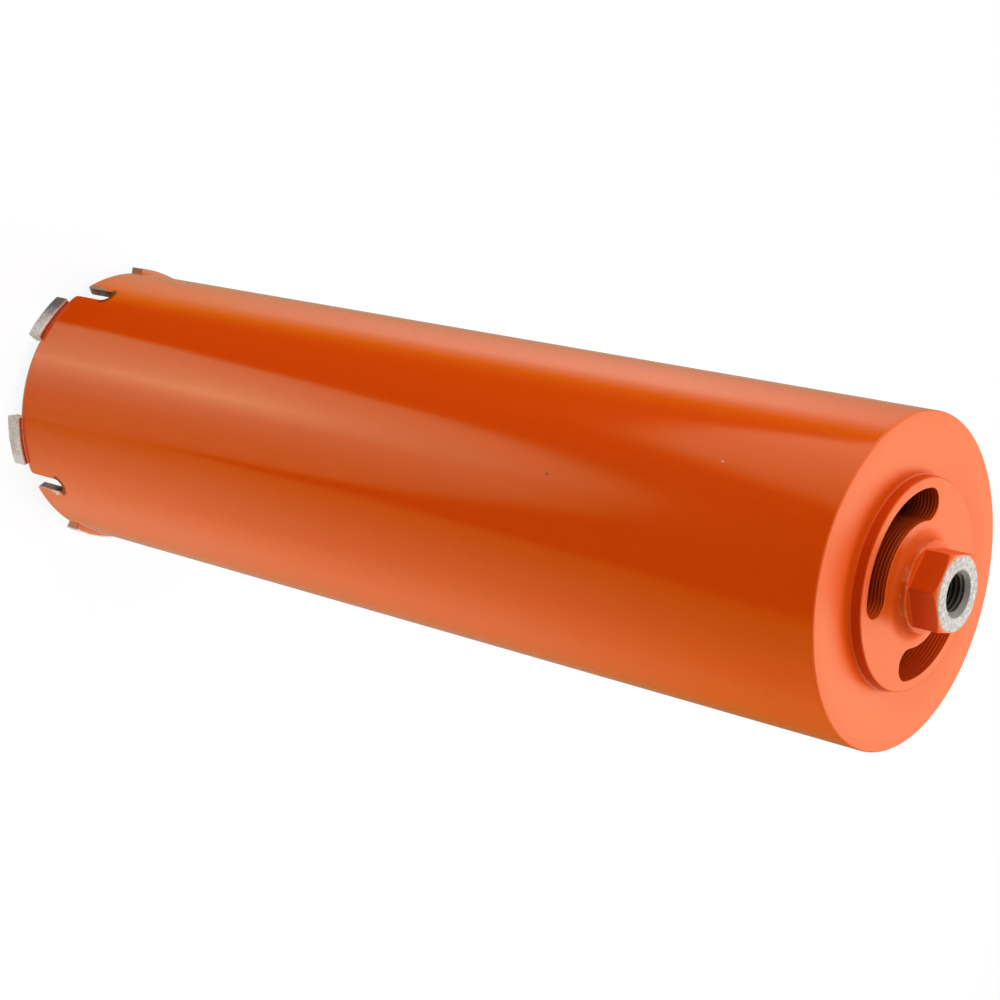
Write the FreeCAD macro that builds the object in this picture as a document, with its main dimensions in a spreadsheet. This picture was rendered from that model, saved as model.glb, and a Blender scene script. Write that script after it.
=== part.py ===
# Diamond core bit: a steel barrel with six cutting segments on its rim, a welded end plate
# and a threaded hexagonal hub. It stands on the segments, with its axis along +Z.
import FreeCAD, Part
import math
import os
import Sketcher

SHEET = "Dimensions"

# alias, value and what it sets; lengths in millimetres, angles in degrees
DIMENSIONS = [
    ("segment_height", 7.5, "tips of the segments to the rim of the barrel"),
    ("segment_proud_outside", 2.25, "segments past the outside of the barrel"),
    ("segment_proud_inside", 0.25, "segments past the inside of the barrel"),
    ("segment_angle", 20.6, "arc of one segment"),
    ("segment_pair_angle", 27.5, "segments on each side of the front and the back"),
    ("segment_side_angle", 90, "segments at the two sides"),
    ("barrel_radius", 64.5, "outside of the barrel"),
    ("barrel_wall", 3.5, "wall of the barrel"),
    ("relief_angle", 45.75, "relief slots on each side of the front and the back"),
    ("relief_width", 7.4, "width of a relief slot"),
    ("relief_depth", 17, "rim to the centre of the round end"),
    ("relief_corner", 2, "rounded corners at the mouth of a relief slot"),
    ("plate_top", 446.5, "tips to the outer face of the end plate"),
    ("plate_thickness", 8, "thickness of the end plate"),
    ("plate_chamfer", 0.8, "edge of the end plate"),
    ("disc_margin", 4.1, "windows to the edge of the disc"),
    ("disc_overlap", 2.5, "edge of the disc past the hole in the end plate that the hub fills"),
    ("disc_rise", 4.5, "disc above the end plate"),
    ("disc_chamfer", 0.8, "edge of the disc"),
    ("vent_gap", 2, "hollow foot of the hexagon to the curved windows in the disc"),
    ("vent_width", 12.2, "width of a window"),
    ("vent_span", 98, "angle between the centres of the round ends"),
    ("vent_turn", -29.1, "middle of the first window"),
    ("collar_margin", 0.86, "round foot past the corners of the hexagon"),
    ("collar_fillet", 4.6, "hollow round the foot"),
    ("hub_rise", 20.9, "end face of the hub above the end plate"),
    ("hex_width", 29, "across the flats"),
    ("hex_turn", 9.4, "first corner of the hexagon"),
    ("hex_face_margin", 0.6, "chamfer to the flats on the end face"),
    ("hex_chamfer_angle", 30, "chamfer of the corners against the end face"),
    ("thread_minor_radius", 6.92, "crests of the M16 internal thread"),
    ("thread_mouth_radius", 8.9, "countersink at both ends of the thread"),
    ("cutter_overrun", 1, "cutting tools past the faces that they open"),
]

doc = FreeCAD.newDocument("DiamondCoreBit")
sheet = doc.addObject("Spreadsheet::Sheet", SHEET)
for row, (alias, value, note) in enumerate(DIMENSIONS, start=1):
    sheet.set("A%d" % row, alias)
    sheet.set("B%d" % row, str(value))
    sheet.set("C%d" % row, note)
    sheet.setAlias("B%d" % row, alias)
doc.recompute()

VALUE = {alias: value for alias, value, note in DIMENSIONS}
AXIS = FreeCAD.Vector(0, 0, 1)
ORIGIN = FreeCAD.Vector(0, 0, 0)


def bound(text):
    """Write an expression of aliases as one that reads the sheet."""
    for alias in sorted(VALUE, key=len, reverse=True):
        text = text.replace("{%s}" % alias, "%s.%s" % (SHEET, alias))
    return text


def number(text):
    """Work out the same expression for the first drawing of a sketch."""
    sheet.set("D1", "=" + text.replace("{", "").replace("}", ""))
    sheet.recompute()
    result = sheet.get("D1")
    sheet.clear("D1")
    return float(getattr(result, "Value", result))


def hold(sketch, edge, point, across, text):
    """Hold one coordinate of a sketch point at an expression, measured from the axis."""
    value = number(text)
    kind, axis = ("DistanceX", -2) if across else ("DistanceY", -1)
    if abs(value) < 1e-9:
        sketch.addConstraint(Sketcher.Constraint("PointOnObject", edge, point, axis))
    elif value > 0:
        held = sketch.addConstraint(Sketcher.Constraint(kind, -1, 1, edge, point, value))
        sketch.setExpression("Constraints[%d]" % held, bound(text))
    else:
        held = sketch.addConstraint(Sketcher.Constraint(kind, edge, point, -1, 1, -value))
        sketch.setExpression("Constraints[%d]" % held, bound("-1 * (%s)" % text))


def outline(label, plane, corners, arcs=None):
    """Draw a closed sketch whose corners and arc centres are all held by the sheet.

    An arc is given by the number of the corner that it leaves, as its centre and
    whether it runs clockwise. Every other edge is straight.
    """
    arcs = arcs or {}
    sketch = doc.addObject("Sketcher::SketchObject", label)
    sketch.Placement = FreeCAD.Placement(ORIGIN, plane)
    spots = [FreeCAD.Vector(number(x), number(y), 0) for x, y in corners]
    ends = []
    for index, start in enumerate(spots):
        finish = spots[(index + 1) % len(spots)]
        if index in arcs:
            centre_x, centre_y, clockwise = arcs[index]
            centre = FreeCAD.Vector(number(centre_x), number(centre_y), 0)
            first, last = (finish, start) if clockwise else (start, finish)
            turn_first = math.atan2(first.y - centre.y, first.x - centre.x)
            turn_last = math.atan2(last.y - centre.y, last.x - centre.x)
            circle = Part.Circle(centre, AXIS, (start - centre).Length)
            edge = sketch.addGeometry(Part.ArcOfCircle(circle, turn_first, turn_last), False)
            ends.append((edge, 2, 1) if clockwise else (edge, 1, 2))
        else:
            edge = sketch.addGeometry(Part.LineSegment(start, finish), False)
            ends.append((edge, 1, 2))
    for index, (edge, start, finish) in enumerate(ends):
        following = ends[(index + 1) % len(ends)]
        joined = Sketcher.Constraint("Coincident", edge, finish, following[0], following[1])
        sketch.addConstraint(joined)
        hold(sketch, edge, start, True, corners[index][0])
        hold(sketch, edge, start, False, corners[index][1])
        if index in arcs:
            chord = spots[(index + 1) % len(spots)] - spots[index]
            across = abs(chord.y) >= abs(chord.x)
            hold(sketch, edge, 3, across, arcs[index][0 if across else 1])
    doc.recompute()
    return sketch


def turned(label, profile):
    """Turn a profile round the axis of the bit."""
    solid = doc.addObject("Part::Revolution", label)
    solid.Source = profile
    solid.Axis = AXIS
    solid.Base = ORIGIN
    solid.Angle = 360
    solid.Solid = True
    return solid


def raised(label, sketch, direction, length, turn="0"):
    """Raise a sketch to a solid and swing it round the axis of the bit."""
    solid = doc.addObject("Part::Extrusion", label)
    solid.Base = sketch
    solid.DirMode = "Custom"
    solid.Dir = direction
    solid.Solid = True
    solid.setExpression("LengthFwd", bound(length))
    solid.Placement = FreeCAD.Placement(ORIGIN, FreeCAD.Rotation(AXIS, number(turn)))
    solid.setExpression("Placement.Rotation.Angle", bound(turn))
    return solid


def fused(label, pieces):
    """Join solids into one."""
    joined = doc.addObject("Part::MultiFuse", label)
    joined.Shapes = pieces
    joined.Refine = True
    return joined


def cut(label, stock, cutter):
    """Take a cutter out of the stock."""
    result = doc.addObject("Part::Cut", label)
    result.Base = stock
    result.Tool = cutter
    result.Refine = True
    return result


# Sketch planes: half profiles stand in XZ, the slot outline in YZ, plan outlines lie in XY.
PROFILE_PLANE = FreeCAD.Rotation(FreeCAD.Vector(1, 0, 0), 90)
SIDE_PLANE = FreeCAD.Rotation(FreeCAD.Vector(1, 1, 1), 120)
PLAN_PLANE = FreeCAD.Rotation(AXIS, 0)

pieces = {}

# Barrel: a thin tube with four round-ended relief slots in its cutting rim.
barrel_inner = "{barrel_radius} - {barrel_wall}"
barrel_end = "{plate_top} - {plate_thickness}"
barrel_profile = outline("BarrelProfile", PROFILE_PLANE, [
    (barrel_inner, "{segment_height}"),
    ("{barrel_radius}", "{segment_height}"),
    ("{barrel_radius}", barrel_end),
    (barrel_inner, barrel_end),
])
barrel_tube = turned("BarrelTube", barrel_profile)

half_width = "{relief_width} / 2"
mouth_half = "{relief_width} / 2 + {relief_corner}"
mouth_top = "{segment_height} + {relief_corner}"
end_centre = "{segment_height} + {relief_depth}"
relief_outline = outline("ReliefOutline", SIDE_PLANE, [
    ("-1 * (%s)" % mouth_half, "{segment_height} - {cutter_overrun}"),
    (mouth_half, "{segment_height} - {cutter_overrun}"),
    (mouth_half, "{segment_height}"),
    (half_width, mouth_top),
    (half_width, end_centre),
    ("-1 * (%s)" % half_width, end_centre),
    ("-1 * (%s)" % half_width, mouth_top),
    ("-1 * (%s)" % mouth_half, "{segment_height}"),
], {
    2: (mouth_half, mouth_top, True),
    4: ("0", end_centre, False),
    6: ("-1 * (%s)" % mouth_half, mouth_top, True),
})
relief_turns = [
    "{relief_angle}",
    "180 - {relief_angle}",
    "180 + {relief_angle}",
    "360 - {relief_angle}",
]
relief_cutters = []
for count, turn in enumerate(relief_turns, start=1):
    relief_cutters.append(raised(
        "ReliefCutter_%d" % count, relief_outline,
        FreeCAD.Vector(1, 0, 0), "{barrel_radius} + {cutter_overrun}", turn))
pieces["barrel"] = cut("Barrel", barrel_tube, fused("ReliefCutters", relief_cutters))

# Hub sizes, each carried outwards from the hexagon: its corners, the round foot,
# the curved windows and the edge of the disc.
corner_radius = "{hex_width} / sqrt(3)"
collar_radius = corner_radius + " + {collar_margin}"
hollow_radius = collar_radius + " + {collar_fillet}"
vent_inner = "(%s + {vent_gap})" % hollow_radius
vent_middle = "(%s + {vent_gap} + {vent_width} / 2)" % hollow_radius
vent_outer = "(%s + {vent_gap} + {vent_width})" % hollow_radius
disc_radius = vent_outer + " + {disc_margin}"
plate_bore = disc_radius + " - {disc_overlap}"
disc_top = "{plate_top} + {disc_rise}"
hub_end = "{plate_top} + {hub_rise}"

# End plate: a turned ring that closes the barrel and takes the hub in its bore.
plate_profile = outline("EndPlateProfile", PROFILE_PLANE, [
    (plate_bore, barrel_end),
    ("{barrel_radius}", barrel_end),
    ("{barrel_radius}", "{plate_top} - {plate_chamfer}"),
    ("{barrel_radius} - {plate_chamfer}", "{plate_top}"),
    (plate_bore, "{plate_top}"),
])
pieces["end_plate"] = turned("EndPlate", plate_profile)

# Hub: a thick disc with a round foot, a hexagon for the wrench, two curved windows
# and the threaded bore that the drill spindle screws into.
foot_profile = outline("HubFootProfile", PROFILE_PLANE, [
    ("0", barrel_end),
    (plate_bore, barrel_end),
    (plate_bore, "{plate_top}"),
    (disc_radius, "{plate_top}"),
    (disc_radius, disc_top + " - {disc_chamfer}"),
    (disc_radius + " - {disc_chamfer}", disc_top),
    (hollow_radius, disc_top),
    (collar_radius, disc_top + " + {collar_fillet}"),
    ("0", disc_top + " + {collar_fillet}"),
], {
    6: (hollow_radius, disc_top + " + {collar_fillet}", True),
})
hub_foot = turned("HubFoot", foot_profile)

face_radius = "{hex_width} / 2 - {hex_face_margin}"
limits_radius = corner_radius + " + {cutter_overrun}"
chamfer_foot = "%s - (%s - (%s)) * tan({hex_chamfer_angle} * 1 deg)" % (
    hub_end, limits_radius, face_radius)
hex_limits_profile = outline("HexLimitsProfile", PROFILE_PLANE, [
    ("0", disc_top),
    (limits_radius, disc_top),
    (limits_radius, chamfer_foot),
    (face_radius, hub_end),
    ("0", hub_end),
])
hex_limits = turned("HexLimits", hex_limits_profile)
hex_bar = doc.addObject("Part::Prism", "HexBar")
hex_bar.Polygon = 6
hex_bar.setExpression("Circumradius", bound(corner_radius))
hex_bar.setExpression("Height", bound("{hub_rise} - {disc_rise} + {cutter_overrun}"))
hex_bar.setExpression("Placement.Base.z", bound(disc_top))
hex_bar.setExpression("Placement.Rotation.Angle", bound("{hex_turn}"))
hexagon = doc.addObject("Part::MultiCommon", "Hexagon")
hexagon.Shapes = [hex_bar, hex_limits]

mouth_depth = "({thread_mouth_radius} - {thread_minor_radius})"
mouth_overrun = "{thread_mouth_radius} + {cutter_overrun}"
bore_profile = outline("BoreProfile", PROFILE_PLANE, [
    ("0", barrel_end + " - {cutter_overrun}"),
    (mouth_overrun, barrel_end + " - {cutter_overrun}"),
    ("{thread_minor_radius}", barrel_end + " + " + mouth_depth),
    ("{thread_minor_radius}", hub_end + " - " + mouth_depth),
    (mouth_overrun, hub_end + " + {cutter_overrun}"),
    ("0", hub_end + " + {cutter_overrun}"),
])
bore = turned("Bore", bore_profile)

vent_cosine = " * cos({vent_span} / 2 * 1 deg)"
vent_sine = " * sin({vent_span} / 2 * 1 deg)"
vent_outline = outline("VentOutline", PLAN_PLANE, [
    (vent_outer + vent_cosine, "-1 * " + vent_outer + vent_sine),
    (vent_outer + vent_cosine, vent_outer + vent_sine),
    (vent_inner + vent_cosine, vent_inner + vent_sine),
    (vent_inner + vent_cosine, "-1 * " + vent_inner + vent_sine),
], {
    0: ("0", "0", False),
    1: (vent_middle + vent_cosine, vent_middle + vent_sine, False),
    2: ("0", "0", True),
    3: (vent_middle + vent_cosine, "-1 * " + vent_middle + vent_sine, False),
})
vent_cutters = []
for count, turn in enumerate(["{vent_turn}", "{vent_turn} + 180"], start=1):
    vent_cutters.append(raised(
        "VentCutter_%d" % count, vent_outline, AXIS, disc_top + " + {cutter_overrun}", turn))

hub_stock = fused("HubStock", [hub_foot, hexagon])
hub_openings = fused("HubOpenings", [bore] + vent_cutters)
pieces["hub"] = cut("Hub", hub_stock, hub_openings)

# Segments: curved sintered blocks on the rim, proud of the barrel inside and out,
# in two close pairs at the front and the back and one at each side.
segment_outer = "({barrel_radius} + {segment_proud_outside})"
segment_inner = "(%s - {segment_proud_inside})" % barrel_inner
segment_cosine = " * cos({segment_angle} / 2 * 1 deg)"
segment_sine = " * sin({segment_angle} / 2 * 1 deg)"
segment_outline = outline("SegmentOutline", PLAN_PLANE, [
    (segment_outer + segment_cosine, "-1 * " + segment_outer + segment_sine),
    (segment_outer + segment_cosine, segment_outer + segment_sine),
    (segment_inner + segment_cosine, segment_inner + segment_sine),
    (segment_inner + segment_cosine, "-1 * " + segment_inner + segment_sine),
], {
    0: ("0", "0", False),
    2: ("0", "0", True),
})
segment_turns = [
    "360 - {segment_pair_angle}",
    "{segment_pair_angle}",
    "{segment_side_angle}",
    "180 - {segment_pair_angle}",
    "180 + {segment_pair_angle}",
    "360 - {segment_side_angle}",
]
for count, turn in enumerate(segment_turns, start=1):
    pieces["segment_%d" % count] = raised(
        "Segment_%d" % count, segment_outline, AXIS, "{segment_height}", turn)

doc.recompute()
os.makedirs("parts", exist_ok=True)
for node, piece in pieces.items():
    piece.Label = node
    shape = piece.Shape
    if "Invalid" in piece.State or shape.isNull() or not shape.isValid():
        raise RuntimeError("bad shape: " + node)
    if len(shape.Solids) != 1:
        raise RuntimeError("not one solid: " + node)
    shape.exportStep("parts/%s.step" % node)
    box = shape.BoundBox
    print("%-10s %.1f mm3  z %.2f to %.2f" % (node, shape.Volume, box.ZMin, box.ZMax))
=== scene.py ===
"""Diamond core bit for masonry, standing on its cutting segments, as it is put together."""
import math

import bmesh
import bpy
from mathutils import Matrix, Vector


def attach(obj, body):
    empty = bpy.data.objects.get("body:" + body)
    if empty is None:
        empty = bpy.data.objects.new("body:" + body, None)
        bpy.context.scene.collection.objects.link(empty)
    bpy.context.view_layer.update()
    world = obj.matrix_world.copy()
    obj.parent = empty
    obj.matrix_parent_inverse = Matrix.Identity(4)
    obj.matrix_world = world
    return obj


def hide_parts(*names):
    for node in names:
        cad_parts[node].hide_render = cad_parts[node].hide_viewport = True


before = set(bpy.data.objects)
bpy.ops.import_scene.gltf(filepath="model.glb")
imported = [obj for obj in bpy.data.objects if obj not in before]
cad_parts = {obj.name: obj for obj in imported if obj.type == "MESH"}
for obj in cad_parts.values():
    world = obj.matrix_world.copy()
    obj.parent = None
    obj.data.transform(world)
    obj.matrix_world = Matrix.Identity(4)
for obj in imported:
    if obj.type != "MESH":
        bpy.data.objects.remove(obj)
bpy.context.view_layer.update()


# Barrel: a thin steel tube, sprayed orange and left bare where it is cut. Four round-ended
# relief slots are cut through its rim, and it is welded to the end plate at its far end.
BARREL_OUTSIDE = 0.0645
BARREL_INSIDE = 0.0610
RIM_LEVEL = 0.0075
PLATE_UNDERSIDE = 0.4385
SLOT_TURNS = (45.75, 134.25, 225.75, 314.25)
SLOT_HALF_WIDTH = 0.0037
SLOT_END_LEVEL = 0.0245
SLOT_MOUTH_RADIUS = 0.002
SLOT_RUN_OUT = 0.0057
SLOT_ROUND_RUN_OUT = 0.8
SLOT_PATCH_HALF_WIDTH = 0.0140
SLOT_PATCH_TOP = 0.0400
SLOT_RINGS = (0.0, 0.06, 0.16, 0.34, 0.62, 1.0)
PATCH_SIDE_ROWS = 15
COLUMN_STEP = 1.5
BARREL_COURSES = 24
CUT_EDGE_ROUND = 0.00035
PAINT_ORANGE = (0.72, 0.064, 0.0006)
PAINT_SHEEN = (1.0, 0.97, 0.62)
PAINT_ROUGHNESS = 0.1
PAINT_DARKER = 0.955
PAINT_IOR = 1.5
PAINT_PEEL_SCALE = 420.0
PAINT_PEEL_DEPTH = 0.0002
EVEN = (1, 1, 1)
LEFT_TO_RIGHT = (-0.01, 0.01)
LEFT_CHIP_TOP = (0.0185, 0.0215)
RIGHT_CHIP_FOOT = (0.0165, 0.0185)
RIGHT_CHIP_TOP = (0.0225, 0.0245)
SCORCH_WIDTH = 0.0036
SCORCHED_PAINT = (0.20, 0.024, 0.004)
PAINT_MARKS = ((-7.0, 0.3203, 0.0011, (0.20, 0.03, 0.01)), (-24.0, 0.3932, 0.0008, (0.75, 0.45, 0.30)))
INSIDE_PAINT_AND_SHADE = (0.40, 0.045, 0.004)
SCALE_DARK = (0.13, 0.075, 0.055)
SCALE_LIGHT = (0.42, 0.27, 0.23)
SCALE_PALE = (0.62, 0.47, 0.45)
STEEL_BRIGHT = (0.62, 0.50, 0.50)
STEEL_BROWN = (0.15, 0.070, 0.085)
STEEL_CUT = (0.34, 0.27, 0.28)
LEFT_BROWN_FOOT = (0.0085, 0.0120)
RIGHT_CUT_FOOT = (0.0155, 0.0185)
SHADED_FOOT = (0.0190, 0.0225)
WALL_SHADE = (0.20, 0.026, 0.010)


def spread(start, finish, count):
    """Evenly spaced values from start to finish."""
    return [start + (finish - start) * k / (count - 1) for k in range(count)]


def arc(start, finish, count):
    """Cosine and sine of evenly spaced angles, given in degrees."""
    angles = [math.radians(angle) for angle in spread(start, finish, count)]
    return [(math.cos(angle), math.sin(angle)) for angle in angles]


def at(radius, angle, level):
    """The point at a radius from the axis, an angle round it and a level."""
    return radius * math.cos(angle), radius * math.sin(angle), level


def slot_edge():
    """Points along the edge of a relief slot, from the left of its mouth to the right."""
    mouth = SLOT_HALF_WIDTH + SLOT_MOUTH_RADIUS
    mouth_level = RIM_LEVEL + SLOT_MOUTH_RADIUS
    left = []
    for cosine, sine in arc(-90, 0, 6):
        left.append((-mouth + SLOT_MOUTH_RADIUS * cosine, mouth_level + SLOT_MOUTH_RADIUS * sine))
    for level in spread(mouth_level, SLOT_END_LEVEL, 9)[1:]:
        left.append((-SLOT_HALF_WIDTH, level))
    for cosine, sine in arc(180, 90, 12)[1:]:
        left.append((SLOT_HALF_WIDTH * cosine, SLOT_END_LEVEL + SLOT_HALF_WIDTH * sine))
    return left + [(-across, level) for across, level in reversed(left[:-1])]


def patch_border(count):
    """Points round the patch of wall about a slot, as many as its edge has."""
    levels = spread(RIM_LEVEL, SLOT_PATCH_TOP, PATCH_SIDE_ROWS + 1)
    half = SLOT_PATCH_HALF_WIDTH
    top = spread(-half, half, count - 2 * PATCH_SIDE_ROWS)
    border = [(-half, level) for level in levels[:-1]]
    border += [(across, SLOT_PATCH_TOP) for across in top]
    return border + [(half, level) for level in reversed(levels[:-1])]


def run_out(level):
    """How much lower the disc that cut a slot left it on the inside of the wall."""
    mouth = RIM_LEVEL + SLOT_MOUTH_RADIUS
    round_share = SLOT_ROUND_RUN_OUT * SLOT_HALF_WIDTH
    if level <= mouth:
        return 0.0
    if level <= SLOT_END_LEVEL:
        return (SLOT_RUN_OUT - round_share) * (level - mouth) / (SLOT_END_LEVEL - mouth)
    return SLOT_RUN_OUT - round_share + round_share * (level - SLOT_END_LEVEL) / SLOT_HALF_WIDTH


def mesh_of(name, build):
    """The mesh of a shape that is built up."""
    mesh = bpy.data.meshes.new(name)
    build.to_mesh(mesh)
    build.free()
    return mesh


def barrel_mesh():
    """The whole wall as quads that follow the slots, with every cut edge marked."""
    edge = slot_edge()
    border = patch_border(len(edge))
    build = bmesh.new()
    cut = build.verts.layers.int.new("cut_edge")
    spots = {}

    def place(angle, level, tuck=0.0, drop=0.0, on_cut=False):
        """A pair of points, on the outside and on the inside of the wall."""
        key = (round(math.degrees(angle) % 360, 4), round(level, 7))
        if key not in spots:
            pair = []
            for radius, turn, height in ((BARREL_OUTSIDE, angle, level),
                                         (BARREL_INSIDE, angle + tuck, level - drop)):
                point = build.verts.new(at(radius, turn, height))
                point[cut] = 1 if on_cut else 0
                pair.append(point)
            spots[key] = pair
        return spots[key]

    def quad(corners):
        """The same quad on the outside and, turned over, on the inside."""
        outer = []
        inner = []
        for pair in corners:
            if pair[0] not in outer:
                outer.append(pair[0])
                inner.append(pair[1])
        build.faces.new(outer)
        build.faces.new(list(reversed(inner)))

    half_turn = math.asin(SLOT_PATCH_HALF_WIDTH / BARREL_OUTSIDE)
    side_levels = [border[k][1] for k in range(PATCH_SIDE_ROWS + 1)]
    top_columns = []
    for turn in SLOT_TURNS:
        centre = math.radians(turn)
        grid = []
        for share in SLOT_RINGS:
            ring = []
            for (x, z), (bx, bz) in zip(edge, border):
                across = x + (bx - x) * share
                level = z + (bz - z) * share
                outside = math.asin(across / BARREL_OUTSIDE)
                tuck = (math.asin(across / BARREL_INSIDE) - outside) * (1 - share)
                drop = run_out(z) * (1 - share) ** 2
                ring.append(place(centre + outside, level, tuck, drop, share == 0.0))
            grid.append(ring)
        for near, far in zip(grid, grid[1:]):
            for k in range(len(edge) - 1):
                quad([near[k], near[k + 1], far[k + 1], far[k]])
        for bx, bz in border[PATCH_SIDE_ROWS:len(border) - PATCH_SIDE_ROWS]:
            top_columns.append(centre + math.asin(bx / BARREL_OUTSIDE))
    gaps = []
    for turn, following in zip(SLOT_TURNS, SLOT_TURNS[1:] + (SLOT_TURNS[0] + 360,)):
        start = math.radians(turn) + half_turn
        finish = math.radians(following) - half_turn
        count = max(2, round(math.degrees(finish - start) / COLUMN_STEP)) + 1
        columns = spread(start, finish, count)
        gaps.append(columns)
        top_columns += columns[1:-1]
        for low, high in zip(side_levels, side_levels[1:]):
            for a, b in zip(columns, columns[1:]):
                quad([place(a, low), place(b, low), place(b, high), place(a, high)])
    ring = sorted(angle % (2 * math.pi) for angle in top_columns)
    levels = spread(SLOT_PATCH_TOP, PLATE_UNDERSIDE, BARREL_COURSES)
    for low, high in zip(levels, levels[1:]):
        for a, b in zip(ring, ring[1:] + ring[:1]):
            quad([place(a, low), place(b, low), place(b, high), place(a, high)])
    partner = {}
    for outer, inner in spots.values():
        partner[outer] = inner
    for joint in [e for e in build.edges if e.is_boundary and e.verts[0] in partner]:
        loop = joint.link_loops[0]
        a, b = loop.vert, loop.link_loop_next.vert
        build.faces.new((b, a, partner[a], partner[b]))
    bevel = build.edges.layers.float.new("bevel_weight_edge")
    for line in build.edges:
        if len(line.link_faces) == 2 and line.calc_face_angle(0) > 0.45:
            if max(v.co.z for v in line.verts) < PLATE_UNDERSIDE - 0.001:
                line[bevel] = 1.0
    return mesh_of("barrel", build)


def stand(name, mesh):
    """Put a mesh into the scene as a piece of that name."""
    piece = bpy.data.objects.new(name, mesh)
    bpy.context.scene.collection.objects.link(piece)
    return piece


def settle(piece):
    """Turn a piece's modifiers into its plain mesh."""
    bpy.context.view_layer.update()
    shape = piece.evaluated_get(bpy.context.evaluated_depsgraph_get())
    mesh = bpy.data.meshes.new_from_object(shape)
    piece.modifiers.clear()
    piece.data = mesh
    mesh.name = piece.name
    return mesh


def rounded(piece, width, by_weight=False):
    """Round the edges of a piece, with the light running smoothly over them."""
    bevel = piece.modifiers.new("edges", "BEVEL")
    bevel.width = width
    bevel.segments = 3
    bevel.limit_method = "WEIGHT" if by_weight else "ANGLE"
    bevel.angle_limit = math.radians(40)


def weigh(piece):
    """Let the large faces of a piece lead its shading."""
    piece.data.shade_smooth()
    lean = piece.modifiers.new("shading", "WEIGHTED_NORMAL")
    lean.weight = 60
    lean.keep_sharp = True


def radial_shading(mesh, radii):
    """Shade the faces that lie on cylinders of these radii as true cylinders."""
    normals = []
    for face in mesh.polygons:
        flat = Vector((face.center.x, face.center.y, 0))
        out = flat.normalized()
        on_wall = (abs(face.normal.dot(out)) > 0.995
                   and any(abs(flat.length - radius) < 0.00006 for radius in radii))
        side = 1 if face.normal.dot(out) > 0 else -1
        for index in face.loop_indices:
            if on_wall:
                spot = mesh.vertices[mesh.loops[index].vertex_index].co
                normals.append(Vector((spot.x, spot.y, 0)).normalized() * side)
            else:
                normals.append(mesh.corner_normals[index].vector.copy())
    mesh.normals_split_custom_set(normals)


def node(tree, kind, **sockets):
    """Add a node, set its inputs by name or number, and join what is given as a socket."""
    made = tree.nodes.new(kind)
    for key, value in sockets.items():
        name = key.replace("_", " ")
        socket = made.inputs[int(key[1:])] if key[1:].isdigit() else made.inputs[name]
        if isinstance(value, bpy.types.NodeSocket):
            tree.links.new(value, socket)
        else:
            socket.default_value = value
    return made


def calc(tree, operation, first, second=0.0, third=0.0, clamp=False):
    """The output of one Math node."""
    made = node(tree, "ShaderNodeMath", _0=first, _1=second, _2=third)
    made.operation = operation
    made.use_clamp = clamp
    return made.outputs[0]


def joined_by(tree, operation, values):
    """Several values joined one after another by the same operation."""
    result = values[0]
    for value in values[1:]:
        result = calc(tree, operation, result, value)
    return result


def calc_vector(tree, operation, **sockets):
    """The outputs of one Vector Math node."""
    made = node(tree, "ShaderNodeVectorMath", **sockets)
    made.operation = operation
    return made.outputs


def product(tree, *values):
    """All values multiplied together."""
    return joined_by(tree, "MULTIPLY", values)


def total(tree, *values):
    """All values added together."""
    return joined_by(tree, "ADD", values)


def greatest(tree, *values):
    """The greatest of all values."""
    return joined_by(tree, "MAXIMUM", values)


def less(tree, value, taken):
    """A value with another taken from it."""
    return calc(tree, "SUBTRACT", value, taken)


def scaled(tree, value, factor, offset):
    """A value times a factor, plus an offset."""
    return calc(tree, "MULTIPLY_ADD", value, factor, offset)


def parts_of(tree, vector):
    """The x, y and z of a vector."""
    return node(tree, "ShaderNodeSeparateXYZ", Vector=vector).outputs


def ramp(tree, value, low, high, bottom=0.0, top=1.0):
    """A smooth step from bottom to top as value goes from low to high."""
    made = node(tree, "ShaderNodeMapRange", Value=value)
    made.interpolation_type = "SMOOTHSTEP"
    for name, number in (("From Min", low), ("From Max", high), ("To Min", bottom), ("To Max", top)):
        made.inputs[name].default_value = number
    return made.outputs[0]


def fall(tree, value, low, high):
    """A smooth step down from 1 to 0 as value goes from low to high."""
    return ramp(tree, value, low, high, 1.0, 0.0)


def soft_edge(tree, value, edge, width):
    """0 to 1 as value passes an edge that may itself vary."""
    return ramp(tree, less(tree, value, edge), -width, width)


def mixed(tree, share, first, second):
    """Mix two colours by a share."""
    made = tree.nodes.new("ShaderNodeMix")
    made.data_type = "RGBA"
    for socket, value in ((made.inputs[0], share), (made.inputs[6], first), (made.inputs[7], second)):
        if isinstance(value, bpy.types.NodeSocket):
            tree.links.new(value, socket)
        else:
            socket.default_value = value if isinstance(value, float) else (*value, 1.0)
    return made.outputs[2]


def reach_of(tree, x, y):
    """How far a point at x and y lies from the middle."""
    plan = node(tree, "ShaderNodeCombineXYZ", X=x, Y=y, Z=0.0)
    return calc_vector(tree, "LENGTH", _0=plan.outputs[0])[1]


def pattern(tree, spots, scale, stretch=EVEN, detail=3.0, roughness=0.5):
    """A cloudy pattern in the object's own space, stretched as given."""
    mapping = node(tree, "ShaderNodeMapping", Vector=spots, Scale=stretch)
    cloud = node(tree, "ShaderNodeTexNoise", Vector=mapping.outputs[0],
                 Scale=scale, Detail=detail, Roughness=roughness)
    return cloud.outputs[0]


def new_material(name):
    """A material, its tree, its shader and the spots that its patterns are laid by."""
    material = bpy.data.materials.new(name)
    material.use_nodes = True
    tree = material.node_tree
    spots = node(tree, "ShaderNodeTexCoord").outputs["Object"]
    return material, tree, tree.nodes["Principled BSDF"], spots


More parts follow.
